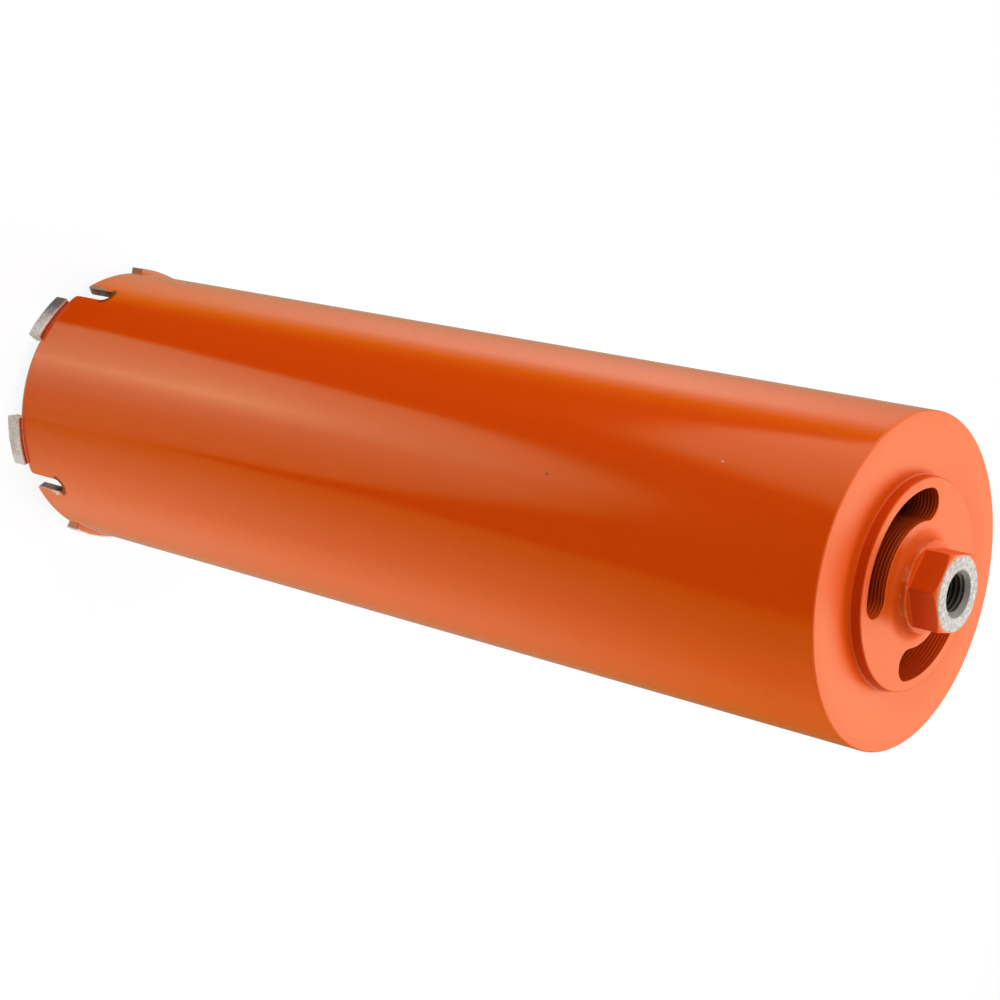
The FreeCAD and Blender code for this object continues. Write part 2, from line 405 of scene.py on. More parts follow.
def raise_bumps(tree, shader, height, strength, depth):
    """Raise the surface by a pattern, on top of the bumps that it already has."""
    bump = node(tree, "ShaderNodeBump", Height=height, Strength=strength, Distance=depth)
    for link in list(shader.inputs["Normal"].links):
        tree.links.new(link.from_socket, bump.inputs["Normal"])
    tree.links.new(bump.outputs[0], shader.inputs["Normal"])


def paint(name, streak=EVEN, peel=0.05, roughness=PAINT_ROUGHNESS, tone=PAINT_ORANGE):
    """Sprayed orange gloss: the material's parts, and its colour to paint over."""
    material, tree, shader, spots = new_material(name)
    shade = ramp(tree, pattern(tree, spots, 26.0, streak), 0.3, 0.7)
    darker = tuple(PAINT_DARKER * part for part in tone)
    colour = mixed(tree, shade, darker, tone)
    tree.links.new(colour, shader.inputs["Base Color"])
    shader.inputs["Roughness"].default_value = roughness
    shader.inputs["IOR"].default_value = PAINT_IOR
    shader.inputs["Specular Tint"].default_value = (*PAINT_SHEEN, 1.0)
    waves = pattern(tree, spots, PAINT_PEEL_SCALE, streak, 2.0)
    raise_bumps(tree, shader, waves, peel, PAINT_PEEL_DEPTH)
    return material, tree, shader, spots, colour


barrel = stand("barrel_tube", barrel_mesh())
rounded(barrel, CUT_EDGE_ROUND, by_weight=True)
settle(barrel)
weigh(barrel)
settle(barrel)
radial_shading(barrel.data, (BARREL_OUTSIDE, BARREL_INSIDE))
barrel_paint, tree, shader, spots, colour = paint("barrel_paint", (1, 1, 0.035))
x, y, z = parts_of(tree, spots)
aside = calc(tree, "ARCTAN2", calc(tree, "ABSOLUTE", y), calc(tree, "ABSOLUTE", x))
aside = less(tree, aside, math.radians(SLOT_TURNS[0]))
aside = product(tree, aside, BARREL_OUTSIDE)
above = greatest(tree, less(tree, z, SLOT_END_LEVEL), 0.0)
reach = less(tree, reach_of(tree, aside, above), SLOT_HALF_WIDTH)
blot = pattern(tree, spots, 260.0, EVEN, 4.0, 0.6)
speck = scaled(tree, blot, 0.0008, -0.0004)
# The cut ran hot at its end, and browned the paint round it.
past_end = product(tree, ramp(tree, z, SLOT_END_LEVEL - 0.001, SLOT_END_LEVEL + 0.0015),
                   fall(tree, reach, 0.0, SCORCH_WIDTH))
scorch = ramp(tree, scaled(tree, blot, 0.5, past_end), 0.35, 0.9)
colour = mixed(tree, scorch, colour, SCORCHED_PAINT)
# Two small marks in the paint, one dark and one light.
for turn, level, size, tone in PAINT_MARKS:
    spot = at(BARREL_OUTSIDE, math.radians(turn), level)
    apart = calc_vector(tree, "DISTANCE", _0=spots, _1=spot)[1]
    distance = scaled(tree, speck, 1.5, apart)
    mark = ramp(tree, distance, 0.3 * size, size, 0.7, 0.0)
    colour = mixed(tree, mark, colour, tone)
# Paint is missing beside each slot, on the side away from the close pair of segments.
far_side = ramp(tree, aside, 0.0, SLOT_HALF_WIDTH)
on_right = ramp(tree, y, *LEFT_TO_RIGHT)
left_zone = product(tree, fall(tree, z, *LEFT_CHIP_TOP), fall(tree, y, *LEFT_TO_RIGHT))
right_zone = product(tree, ramp(tree, z, *RIGHT_CHIP_FOOT), fall(tree, z, *RIGHT_CHIP_TOP), on_right)
spatter = pattern(tree, spots, 280.0, EVEN, 3.0, 0.65)
bare_width = scaled(tree, spatter, 0.0100, -0.0026)
bare = product(tree, soft_edge(tree, bare_width, reach, 0.0003), far_side,
               greatest(tree, left_zone, right_zone))
rim_wear = fall(tree, total(tree, z, speck), RIM_LEVEL + 0.0005, RIM_LEVEL + 0.0009)
edge_wear = fall(tree, total(tree, reach, speck), 0.00035, 0.0008)
edge_wear = product(tree, edge_wear, far_side, fall(tree, z, 0.0205, 0.0235))
bare = greatest(tree, bare, product(tree, greatest(tree, rim_wear, edge_wear), 0.7))
scale = mixed(tree, on_right, mixed(tree, blot, SCALE_DARK, SCALE_LIGHT), SCALE_PALE)
# Little spray reaches the inside of the tube, and its paint is also painted darker there as shade.
hidden = fall(tree, reach_of(tree, x, y), BARREL_INSIDE + 0.0002, BARREL_INSIDE + 0.0006)
colour = mixed(tree, hidden, colour, INSIDE_PAINT_AND_SHADE)
colour = mixed(tree, bare, colour, scale)
tree.links.new(colour, shader.inputs["Base Color"])
tree.links.new(product(tree, bare, 0.1), shader.inputs["Metallic"])
dull = greatest(tree, bare, hidden)
tree.links.new(scaled(tree, dull, 0.35, PAINT_ROUGHNESS), shader.inputs["Roughness"])
# The gloss is streaked along the tube, and burnt off at the slots' ends.
streaks = ramp(tree, pattern(tree, spots, 150.0, (1, 1, 0.02), 3.0, 0.6), 0.35, 0.65, 0.46, 0.54)
gloss = product(tree, streaks, ramp(tree, scorch, 0.0, 1.0, 1.0, 0.15))
tree.links.new(gloss, shader.inputs["Specular IOR Level"])
barrel.data.materials.append(barrel_paint)
# The walls of the slots are cut steel, with a fine uneven grain.
slot_steel, tree, shader, spots = new_material("slot_steel")
grain = ramp(tree, pattern(tree, spots, 900.0, EVEN, 4.0), 0.3, 0.7)
bright = mixed(tree, grain, tuple(0.6 * part for part in STEEL_BRIGHT), STEEL_BRIGHT)
raise_bumps(tree, shader, grain, 0.3, 0.0002)
x, y, z = parts_of(tree, spots)
fleck = ramp(tree, pattern(tree, spots, 420.0, EVEN, 3.0, 0.6), 0.40, 0.62)
brown = mixed(tree, fleck, STEEL_BROWN, SCALE_LIGHT)
left_wall = mixed(tree, ramp(tree, z, *LEFT_BROWN_FOOT), bright, brown)
right_wall = mixed(tree, ramp(tree, z, *RIGHT_CUT_FOOT), bright, STEEL_CUT)
colour = mixed(tree, ramp(tree, y, *LEFT_TO_RIGHT), left_wall, right_wall)
# Near the slots' ends the walls are painted dark red-brown, a painted shade.
colour = mixed(tree, ramp(tree, z, *SHADED_FOOT), colour, WALL_SHADE)
tree.links.new(colour, shader.inputs["Base Color"])
tree.links.new(ramp(tree, z, 0.0145, 0.0205, 0.12, 0.0), shader.inputs["Metallic"])
shader.inputs["Specular IOR Level"].default_value = 0.25
shader.inputs["Roughness"].default_value = 0.45
barrel.data.materials.append(slot_steel)
for face in barrel.data.polygons:
    middle = face.center
    radius = math.hypot(middle.x, middle.y)
    inside_wall = BARREL_INSIDE + 0.0006 < radius < BARREL_OUTSIDE - 0.0006
    if inside_wall and RIM_LEVEL + 0.0002 < middle.z < SLOT_PATCH_TOP:
        face.material_index = 1
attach(barrel, "root")
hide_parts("barrel")


# End plate: a turned steel ring welded flush into the barrel's far end and ground, with
# a small chamfer round its outer face, painted together with the barrel.
PLATE_FACE = 0.4465
PLATE_BORE = 0.0380
PLATE_CHAMFER = 0.0008
ROUND_COLUMNS = 288
END_ROUGHNESS = 0.40
END_ORANGE = (0.61, 0.062, 0.0015)


def turned(name, outline, columns):
    """Turn a closed outline of (radius, level) points round the axis."""
    build = bmesh.new()
    rings = []
    for k in range(columns):
        angle = 2 * math.pi * k / columns
        rings.append([build.verts.new(at(radius, angle, level)) for radius, level in outline])
    for ring, following in zip(rings, rings[1:] + rings[:1]):
        for k in range(len(outline)):
            n = (k + 1) % len(outline)
            build.faces.new((ring[k], following[k], following[n], ring[n]))
    bmesh.ops.recalc_face_normals(build, faces=build.faces)
    return mesh_of(name, build)


plate_outline = [(PLATE_BORE, PLATE_UNDERSIDE), (BARREL_OUTSIDE, PLATE_UNDERSIDE)]
for cosine, sine in arc(0, 90, 5):
    plate_outline.append((BARREL_OUTSIDE - PLATE_CHAMFER * (1 - cosine),
                          PLATE_FACE - PLATE_CHAMFER * (1 - sine)))
plate_outline.append((PLATE_BORE, PLATE_FACE))
plate = stand("end_plate_ring", turned("end_plate", plate_outline, ROUND_COLUMNS))
weigh(plate)
settle(plate)
radial_shading(plate.data, (BARREL_OUTSIDE,))
plate_paint, tree, shader, spots, orange = paint("plate_paint", peel=0.04, roughness=END_ROUGHNESS)
x, y, z = parts_of(tree, spots)
on_end = fall(tree, reach_of(tree, x, y), BARREL_OUTSIDE - 0.0004, BARREL_OUTSIDE - 0.0001)
tree.links.new(scaled(tree, on_end, END_ROUGHNESS - PAINT_ROUGHNESS, PAINT_ROUGHNESS),
               shader.inputs["Roughness"])
tree.links.new(mixed(tree, on_end, orange, END_ORANGE), shader.inputs["Base Color"])
plate.data.materials.append(plate_paint)
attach(plate, "root")
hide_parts("end_plate")


# Hub: turned and milled from one bar, with a disc, two curved windows, a hollow round foot,
# a hexagon and an M16 thread. It is sprayed with the rest, then its end face is ground bare.
DISC_TOP = 0.4510
HUB_END = 0.4674
DISC_RADIUS = 0.0405
DISC_ROUND = 0.0007
WELD_RADIUS = 0.0008
HOLLOW_RADIUS = 0.0222
COLLAR_RADIUS = 0.0176
HOLLOW_SWEEP = 0.0046
HEX_HALF_WIDTH = 0.0145
HEX_TURN = 9.4
HEX_CORNER = 0.0008
HEX_FACE_RADIUS = 0.0139
HEX_CHAMFER_TURN = 30.0
EDGE_EASE = 0.0001
BORE_MOUTH = 0.0089
THREAD_MINOR = 0.00692
THREAD_DEPTH = 0.00108
THREAD_PITCH = 0.002
THREAD_FLANKS = 0.625
THREAD_ROWS = 145
WINDOW_RADIUS = 0.0303
WINDOW_HALF_WIDTH = 0.0061
WINDOW_HALF_SPAN = 49.0
WINDOW_TURNS = (-29.1, 150.9)
WINDOW_LIP = 0.0004
WINDOW_ROWS = 54
RIB_PITCH = 0.00145
RIB_DEPTH = 0.00022
HUB_COLUMN_STEP = 2.0
ON_THREAD = 1.0
ON_RIBS = 2.0
WINDOW_SHADE = (0.36, 0.036, 0.003)
WINDOW_DEEP_SHADE = (0.12, 0.011, 0.001)
WINDOW_LIT_SIDE = (0.66, 0.070, 0.006)
DISC_SIDE_SHADE = (0.58, 0.050, 0.0012)
ZINC_DARK = (0.18, 0.170, 0.20)
ZINC_LIGHT = (0.54, 0.510, 0.57)
HEX_ORANGE = (0.64, 0.053, 0.001)
WORN_PAINT_AND_HIGHLIGHT = (0.80, 0.34, 0.17)
CONE_ZINC = (0.16, 0.15, 0.165)
THREAD_DEEP_SHADE = (0.030, 0.027, 0.026)
THREAD_LIGHT = (0.080, 0.069, 0.082)


def hex_radius(angle):
    """Distance from the axis to the hexagon, corners rounded, at an angle in degrees."""
    beside = (angle - HEX_TURN + 30) % 60 - 30
    turn = math.radians(abs(beside))
    centre = (HEX_HALF_WIDTH - HEX_CORNER) / math.cos(math.radians(30))
    reach = math.atan2(HEX_CORNER * 0.5, centre + HEX_CORNER * math.cos(math.radians(30)))
    if turn < reach:
        return centre * math.cos(turn) + math.sqrt(HEX_CORNER ** 2 - (centre * math.sin(turn)) ** 2)
    return HEX_HALF_WIDTH / math.cos(math.radians(30) - turn)


def hub_columns():
    """Angles of the columns, closer at the hexagon's corners and at the windows' ends.

    Each comes with the window that it crosses, if any, and the place on its round end.
    """
    columns = {}
    reach = math.degrees(math.asin(WINDOW_HALF_WIDTH / WINDOW_RADIUS))
    for number, middle in enumerate(WINDOW_TURNS):
        for side in (-1, 1):
            for chi in spread(0, 90, 11):
                lean = math.radians(chi)
                beyond = math.degrees(math.asin(
                    WINDOW_HALF_WIDTH / WINDOW_RADIUS * math.sin(lean)))
                angle = middle + side * (WINDOW_HALF_SPAN + beyond)
                columns[round(angle % 360, 5)] = (number, side, lean)

    def clear(angle, gap):
        """Whether an angle keeps its distance from the columns that are set."""
        return all(min((angle - f) % 360, (f - angle) % 360) > gap for f in columns)

    for corner in range(6):
        for step in (0, 0.45, 0.9, 1.39, -0.45, -0.9, -1.39):
            angle = (HEX_TURN + 60 * corner + step) % 360
            if clear(angle, 0.12):
                columns[round(angle, 5)] = None
    for k in range(round(360 / HUB_COLUMN_STEP)):
        if clear(k * HUB_COLUMN_STEP, 0.7):
            columns[round(k * HUB_COLUMN_STEP, 5)] = None
    for angle, found in columns.items():
        if found is None:
            for number, middle in enumerate(WINDOW_TURNS):
                if abs((angle - middle + 180) % 360 - 180) < WINDOW_HALF_SPAN:
                    columns[angle] = (number, 0, 0.0)
    return sorted(columns.items())


def window_edge(angle, crossed, inward, lip):
    """A point on a window's edge, in plan, on the hub's side or the rim's side of it."""
    number, side, lean = crossed
    half = WINDOW_HALF_WIDTH + lip
    if side == 0:
        radius = WINDOW_RADIUS - half if inward else WINDOW_RADIUS + half
        turn = math.radians(angle)
        return radius * math.cos(turn), radius * math.sin(turn)
    turn = math.radians(WINDOW_TURNS[number] + side * WINDOW_HALF_SPAN)
    out = Vector((math.cos(turn), math.sin(turn)))
    along = Vector((-math.sin(turn), math.cos(turn))) * side
    across = -math.cos(lean) if inward else math.cos(lean)
    spot = out * (WINDOW_RADIUS + half * across) + along * half * math.sin(lean)
    return spot.x, spot.y


def hub_mesh():
    """The hub as rings of quads that share their columns, closed all over."""
    build = bmesh.new()
    marks = build.verts.layers.float.new("cutting")
    columns = hub_columns()
    count = len(columns)

    def ring(radius, level, cutting=0.0):
        """One ring of points, with its radius fixed or given for each angle."""
        made = []
        for angle, crossed in columns:
            r = radius(angle) if callable(radius) else radius
            z = level(angle) if callable(level) else level
            point = build.verts.new(at(r, math.radians(angle), z))
            point[marks] = cutting
            made.append(point)
        return made

    def skin(first, second, keep=None):
        """Quads from one ring to the next."""
        for k in range(count):
            n = (k + 1) % count
            if keep is None or keep(k, n):
                corners = []
                for point in (first[k], first[n], second[n], second[k]):
                    if point not in corners:
                        corners.append(point)
                if len(corners) > 2:
                    build.faces.new(corners)

    def lips(level, lip, cutting=0.0, solid=True):
        """The two rings that run along the windows, joined to one between them."""
        near = []
        far = []
        for angle, crossed in columns:
            if crossed is None:
                spot = at(WINDOW_RADIUS, math.radians(angle), level)
                point = build.verts.new(spot) if solid else None
                near.append(point)
                far.append(point)
                continue
            x, y = window_edge(angle, crossed, True, lip)
            first = build.verts.new((x, y, level))
            first[marks] = cutting
            near.append(first)
            if crossed[1] and crossed[2] > math.radians(89.9):
                far.append(first)
                continue
            x, y = window_edge(angle, crossed, False, lip)
            second = build.verts.new((x, y, level))
            second[marks] = cutting
            far.append(second)
        return near, far

    def in_window(k, n):
        """Whether the gap between two columns lies in one window."""
        here, there = columns[k][1], columns[n][1]
        return here is not None and there is not None and here[0] == there[0]

    def chamfer_level(angle):
        """Level of the chamfer's cone where it meets the hexagon."""
        rise = (hex_radius(angle) - HEX_FACE_RADIUS) * math.tan(math.radians(HEX_CHAMFER_TURN))
        return HUB_END - rise

    mouth = ring(BORE_MOUTH + 1.5 * EDGE_EASE, HUB_END)
    chain = [ring(BORE_MOUTH, HUB_END - EDGE_EASE, ON_THREAD)]
    for level in spread(HUB_END - 3 * EDGE_EASE, PLATE_UNDERSIDE + 3 * EDGE_EASE, THREAD_ROWS):
        chain.append(ring(THREAD_MINOR, level, ON_THREAD))
    chain.append(ring(BORE_MOUTH, PLATE_UNDERSIDE + EDGE_EASE, ON_THREAD))
    under_mouth = ring(BORE_MOUTH + 1.5 * EDGE_EASE, PLATE_UNDERSIDE)
    skin(mouth, chain[0])
    for first, second in zip(chain, chain[1:]):
        skin(first, second)
    skin(chain[-1], under_mouth)

    def beside_hex(eases):
        """The hexagon's radius at an angle, made wider by a number of eases."""
        return lambda angle: hex_radius(angle) + eases * EDGE_EASE

    def near_chamfer(eases):
        """The chamfer's level at an angle, raised by a number of eases."""
        return lambda angle: chamfer_level(angle) + eases * EDGE_EASE

    face_edge = ring(HEX_FACE_RADIUS - 2 * EDGE_EASE, HUB_END)
    face_round = ring(HEX_FACE_RADIUS + EDGE_EASE, HUB_END - 0.9 * EDGE_EASE)
    chamfer_foot = ring(beside_hex(-2.2), near_chamfer(1.3))
    flat_top = ring(hex_radius, near_chamfer(-1))
    flat_mid = ring(hex_radius, near_chamfer(-6))
    collar_level = DISC_TOP + HOLLOW_SWEEP
    flat_foot = ring(hex_radius, collar_level + 7 * EDGE_EASE)
    flat_end = ring(beside_hex(1), collar_level + 2.5 * EDGE_EASE)
    shoulder = ring(lambda angle: min(hex_radius(angle) + 5 * EDGE_EASE,
                                      COLLAR_RADIUS - 3 * EDGE_EASE), collar_level)
    shoulder_out = ring(COLLAR_RADIUS - 2.5 * EDGE_EASE, collar_level)
    rings = [mouth, face_edge, face_round, chamfer_foot, flat_top, flat_mid,
             flat_foot, flat_end, shoulder, shoulder_out]
    for cosine, sine in arc(8, 90, 12):
        rings.append(ring(HOLLOW_RADIUS - HOLLOW_SWEEP * cosine, collar_level - HOLLOW_SWEEP * sine))
    near, far = lips(DISC_TOP, WINDOW_LIP)
    for first, second in zip(rings, rings[1:]):
        skin(second, first)
    skin(near, rings[-1])

    rim = ring(DISC_RADIUS - DISC_ROUND - EDGE_EASE, DISC_TOP)
    skin(rim, far)
    edge = [rim]
    for cosine, sine in arc(75, 0, 5):
        edge.append(ring(DISC_RADIUS - DISC_ROUND * (1 - cosine), DISC_TOP - DISC_ROUND * (1 - sine)))
    for cosine, sine in arc(0, 85, 6):
        edge.append(ring(DISC_RADIUS + WELD_RADIUS * (1 - cosine),
                         PLATE_FACE + WELD_RADIUS * (1 - sine)))
    edge.append(ring(DISC_RADIUS + WELD_RADIUS, PLATE_FACE))
    edge.append(ring(PLATE_BORE, PLATE_FACE))
    edge.append(ring(PLATE_BORE, PLATE_UNDERSIDE))
    for first, second in zip(edge, edge[1:]):
        skin(second, first)
    low_near, low_far = lips(PLATE_UNDERSIDE, WINDOW_LIP)
    skin(low_far, edge[-1])
    skin(under_mouth, low_near)

    walls = [(near, far)]
    levels = [(DISC_TOP - 0.12 * WINDOW_LIP, 0.35 * WINDOW_LIP, 0.0),
              (DISC_TOP - WINDOW_LIP, 0.0, 0.0)]
    for level in spread(DISC_TOP - 1.5 * WINDOW_LIP, PLATE_UNDERSIDE + 1.5 * WINDOW_LIP, WINDOW_ROWS):
        levels.append((level, 0.0, ON_RIBS))
    levels.append((PLATE_UNDERSIDE + WINDOW_LIP, 0.0, 0.0))
    levels.append((PLATE_UNDERSIDE + 0.12 * WINDOW_LIP, 0.35 * WINDOW_LIP, 0.0))
    for level, lip, cutting in levels:
        walls.append(lips(level, lip, cutting, solid=False))
    walls.append((low_near, low_far))
    for (near_top, far_top), (near_low, far_low) in zip(walls, walls[1:]):
        skin(near_top, near_low, in_window)
        skin(far_low, far_top, in_window)
    bmesh.ops.recalc_face_normals(build, faces=build.faces)
    return mesh_of("hub", build)


def end_tree(tree, shape, material, result):
    """Make copies real, dress all in a material and lead it out of the tree."""
    whole = node(tree, "GeometryNodeRealizeInstances", Geometry=shape)
    dressed = node(tree, "GeometryNodeSetMaterial", Geometry=whole.outputs[0])
    dressed.inputs["Material"].default_value = material
    tree.links.new(dressed.outputs[0], result["Geometry"])
    return tree


def tree_inputs(name, sizes):
    """A geometry tree with a mesh in, a mesh out and these named sizes."""
    tree = bpy.data.node_groups.new(name, "GeometryNodeTree")
    face = tree.interface
    face.new_socket("Geometry", in_out="INPUT", socket_type="NodeSocketGeometry")
    face.new_socket("Geometry", in_out="OUTPUT", socket_type="NodeSocketGeometry")
    for label, value in sizes.items():
        kind = "NodeSocketInt" if isinstance(value, int) else "NodeSocketFloat"
        socket = face.new_socket(label, in_out="INPUT", socket_type=kind)
        socket.default_value = value
    start = tree.nodes.new("NodeGroupInput")
    finish = tree.nodes.new("NodeGroupOutput")
    return tree, start.outputs, finish.inputs


def use_tree(piece, tree, sizes):
    """Put a geometry tree on a piece, with these sizes set by their sockets' identifiers."""
    modifier = piece.modifiers.new(tree.name, "NODES")
    modifier.node_group = tree
    for item in tree.interface.items_tree:
        if item.item_type == "SOCKET" and item.in_out == "INPUT" and item.name in sizes:
            modifier[item.identifier] = sizes[item.name]
    return modifier


def compare(tree, operation, first, second):
    """Whether one value is greater than, less than or equal to another."""
    made = node(tree, "FunctionNodeCompare", _0=first, _1=second)
    made.operation = operation
    return made.outputs[0]


CUTTING_SIZES = {
    "Thread pitch": THREAD_PITCH,
    "Thread depth": THREAD_DEPTH,
    "Thread minor radius": THREAD_MINOR,
    "Mouth radius": BORE_MOUTH,
    "Upper mouth": HUB_END,
    "Lower mouth": PLATE_UNDERSIDE,
    "Rib pitch": RIB_PITCH,
    "Rib depth": RIB_DEPTH,
}


def cutting_tree(material):
    """The thread in the bore and the milling ribs on the window walls."""
    tree, given, result = tree_inputs("hub_cutting", CUTTING_SIZES)
    mark = node(tree, "GeometryNodeInputNamedAttribute", Name="cutting")
    mark.data_type = "FLOAT"
    place = tree.nodes.new("GeometryNodeInputPosition")
    x, y, z = parts_of(tree, place.outputs[0])
    turn = calc(tree, "DIVIDE", calc(tree, "ARCTAN2", y, x), 2 * math.pi)
    phase = less(tree, calc(tree, "DIVIDE", z, given["Thread pitch"]), turn)
    across = less(tree, calc(tree, "FRACT", phase), 0.5)
    across = product(tree, calc(tree, "ABSOLUTE", across), 2.0)
    flank = calc(tree, "MULTIPLY_ADD", across, 1 / THREAD_FLANKS, -0.25 / THREAD_FLANKS, clamp=True)
    radius = scaled(tree, flank, given["Thread depth"], given["Thread minor radius"])
    above = less(tree, given["Upper mouth"], z)
    below = less(tree, z, given["Lower mouth"])
    for depth in (above, below):
        cone = less(tree, given["Mouth radius"], depth)
        radius = greatest(tree, radius, cone)
    plan = node(tree, "ShaderNodeCombineXYZ", X=x, Y=y, Z=0.0)
    away = calc_vector(tree, "NORMALIZE", _0=plan.outputs[0])[0]
    spot = parts_of(tree, calc_vector(tree, "SCALE", _0=away, _3=radius)[0])
    threaded = node(tree, "ShaderNodeCombineXYZ", X=spot[0], Y=spot[1], Z=z)
    move = node(tree, "GeometryNodeSetPosition", Geometry=given["Geometry"],
                Selection=compare(tree, "EQUAL", mark.outputs[0], ON_THREAD),
                Position=threaded.outputs[0])
    wave = calc(tree, "DIVIDE", z, given["Rib pitch"])
    wave = calc(tree, "ABSOLUTE", calc(tree, "SINE", product(tree, wave, math.pi)))
    wave = product(tree, wave, given["Rib depth"], -1.0)
    facing = tree.nodes.new("GeometryNodeInputNormal")
    inward = calc_vector(tree, "SCALE", _0=facing.outputs[0], _3=wave)[0]
    rib = node(tree, "GeometryNodeSetPosition", Geometry=move.outputs[0],
               Selection=compare(tree, "EQUAL", mark.outputs[0], ON_RIBS), Offset=inward)
    return end_tree(tree, rib.outputs[0], material, result)


hub_paint, tree, shader, spots, orange = paint(
    "hub_paint", peel=0.04, roughness=END_ROUGHNESS, tone=END_ORANGE)
x, y, z = parts_of(tree, spots)
reach = reach_of(tree, x, y)
fleck = pattern(tree, spots, 700.0, EVEN, 3.0)
ragged = scaled(tree, fleck, 0.0006, -0.0003)
level = total(tree, z, ragged)
# The walls of the windows are painted dark as shade, darker deeper down, and painted lighter on the +y
# side.
off_middle = calc(tree, "ABSOLUTE", less(tree, reach, WINDOW_RADIUS))
inside = fall(tree, off_middle, WINDOW_HALF_WIDTH + 0.0003, WINDOW_HALF_WIDTH + 0.0007)
shaded = product(tree, inside, fall(tree, level, DISC_TOP - 0.0030, DISC_TOP - 0.0003))
deep = fall(tree, level, DISC_TOP - 0.0120, DISC_TOP - 0.0045)
lit_side = ramp(tree, y, 0.004, 0.016, 0.0, 0.85)
window_tone = mixed(tree, lit_side, mixed(tree, deep, WINDOW_SHADE, WINDOW_DEEP_SHADE), WINDOW_LIT_SIDE)
orange = mixed(tree, shaded, orange, window_tone)
# The side of the disc and the weld at its foot are painted darker as shade, with less gloss.
on_side = ramp(tree, reach, DISC_RADIUS - 0.00035, DISC_RADIUS - 0.0001)
orange = mixed(tree, on_side, orange, DISC_SIDE_SHADE)
on_hexagon = ramp(tree, z, DISC_TOP + 0.0040, DISC_TOP + 0.0052)
orange = mixed(tree, on_hexagon, orange, HEX_ORANGE)
in_hollow = fall(tree, reach, COLLAR_RADIUS + 0.0022, HOLLOW_RADIUS + 0.0012)
dull = total(tree, product(tree, on_side, 0.45), product(tree, on_hexagon, -0.35),
             product(tree, in_hollow, 0.65))
tree.links.new(scaled(tree, dull, -0.5, 0.5), shader.inputs["Specular IOR Level"])
# The edge of the foot is painted with pale flecks, a painted highlight.
patches = ramp(tree, pattern(tree, spots, 190.0, EVEN, 4.0, 0.6), 0.40, 0.66, 0.0, 0.3)
foot_highlight = product(tree, ramp(tree, reach, COLLAR_RADIUS - 0.0008, COLLAR_RADIUS - 0.0003),
                    fall(tree, reach, COLLAR_RADIUS + 0.0002, COLLAR_RADIUS + 0.0008), patches)
orange = mixed(tree, foot_highlight, orange, WORN_PAINT_AND_HIGHLIGHT)
# The end face is ground bare, and its paint is worn back in a ragged line.
ground = ramp(tree, level, HUB_END - 0.00035, HUB_END - 0.00012)
worn = ramp(tree, level, HUB_END - 0.0011, HUB_END - 0.00035)
bore_reach = total(tree, reach, ragged)
in_bore = fall(tree, bore_reach, BORE_MOUTH + 0.0002, BORE_MOUTH + 0.0004)
bare = greatest(tree, ground, in_bore)
mottle = ramp(tree, pattern(tree, spots, 620.0, EVEN, 6.0, 0.75), 0.28, 0.72)
zinc = mixed(tree, mottle, ZINC_DARK, ZINC_LIGHT)
# The thread is painted darker deeper in the bore, as shade.
depth = ramp(tree, z, HUB_END - 0.0060, HUB_END - 0.0008)
thread_tone = mixed(tree, depth, THREAD_DEEP_SHADE, THREAD_LIGHT)
on_cone = ramp(tree, level, HUB_END - 0.0022, HUB_END - 0.0014)
metal = mixed(tree, in_bore, zinc, mixed(tree, on_cone, thread_tone, CONE_ZINC))
orange = mixed(tree, product(tree, worn, 0.55), orange, WORN_PAINT_AND_HIGHLIGHT)
tree.links.new(mixed(tree, bare, orange, metal), shader.inputs["Base Color"])
tree.links.new(product(tree, bare, 0.2), shader.inputs["Metallic"])

hub = stand("hub_body", hub_mesh())
use_tree(hub, cutting_tree(hub_paint), CUTTING_SIZES)
settle(hub)
weigh(hub)
settle(hub)
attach(hub, "root")
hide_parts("hub")


# Segments: six curved blocks of sintered metal and diamond grit, welded to the rim. The
# ledge that stands out past the barrel is caught by the orange paint, the rest is bare.
SEGMENT_OUTSIDE = 0.06675
SEGMENT_INSIDE = 0.06075
SEGMENT_ARC = 20.6
SEGMENT_TURNS = (332.5, 27.5, 90.0, 152.5, 207.5, 270.0)
SEGMENT_ROUND = 0.0004
SINTER_DARK = (0.37, 0.33, 0.37)
SINTER_LIGHT = (0.73, 0.66, 0.74)
SINTER_PALE = (0.77, 0.70, 0.79)
SINTER_REFLECTION_DARK = (0.055, 0.055, 0.06)
SIDE_SPRAY_SHEEN = (0.60, 0.17, 0.085)
WELD_SEAM = (0.24, 0.034, 0.008)
WORN_EDGE = (0.66, 0.40, 0.27)
BLOCK_SIZES = {
    "Turn": 0.0,
    "Arc": math.radians(SEGMENT_ARC),
    "Inner radius": SEGMENT_INSIDE,
    "Outer radius": SEGMENT_OUTSIDE,
    "Height": RIM_LEVEL,
}
GRIT_SIZES = {"Grains per square metre": 260000.0, "Grain radius": 0.00017, "Seed": 3}


def block_tree(material):
    """One curved block, bent from a straight one."""
    tree, given, result = tree_inputs("segment_block", BLOCK_SIZES)
    block = node(tree, "GeometryNodeMeshCube", Vertices_X=25, Vertices_Y=7, Vertices_Z=8)
    place = tree.nodes.new("GeometryNodeInputPosition")
    x, y, z = parts_of(tree, place.outputs[0])
    radial = less(tree, given["Outer radius"], given["Inner radius"])
    radius = scaled(tree, less(tree, 0.5, y), radial, given["Inner radius"])
    turn = scaled(tree, x, given["Arc"], given["Turn"])
    level = product(tree, total(tree, z, 0.5), given["Height"])
    bent = node(tree, "ShaderNodeCombineXYZ",
                X=product(tree, radius, calc(tree, "COSINE", turn)),
                Y=product(tree, radius, calc(tree, "SINE", turn)),
                Z=level)
    made = node(tree, "GeometryNodeSetPosition", Geometry=block.outputs[0], Position=bent.outputs[0])
    return end_tree(tree, made.outputs[0], material, result)


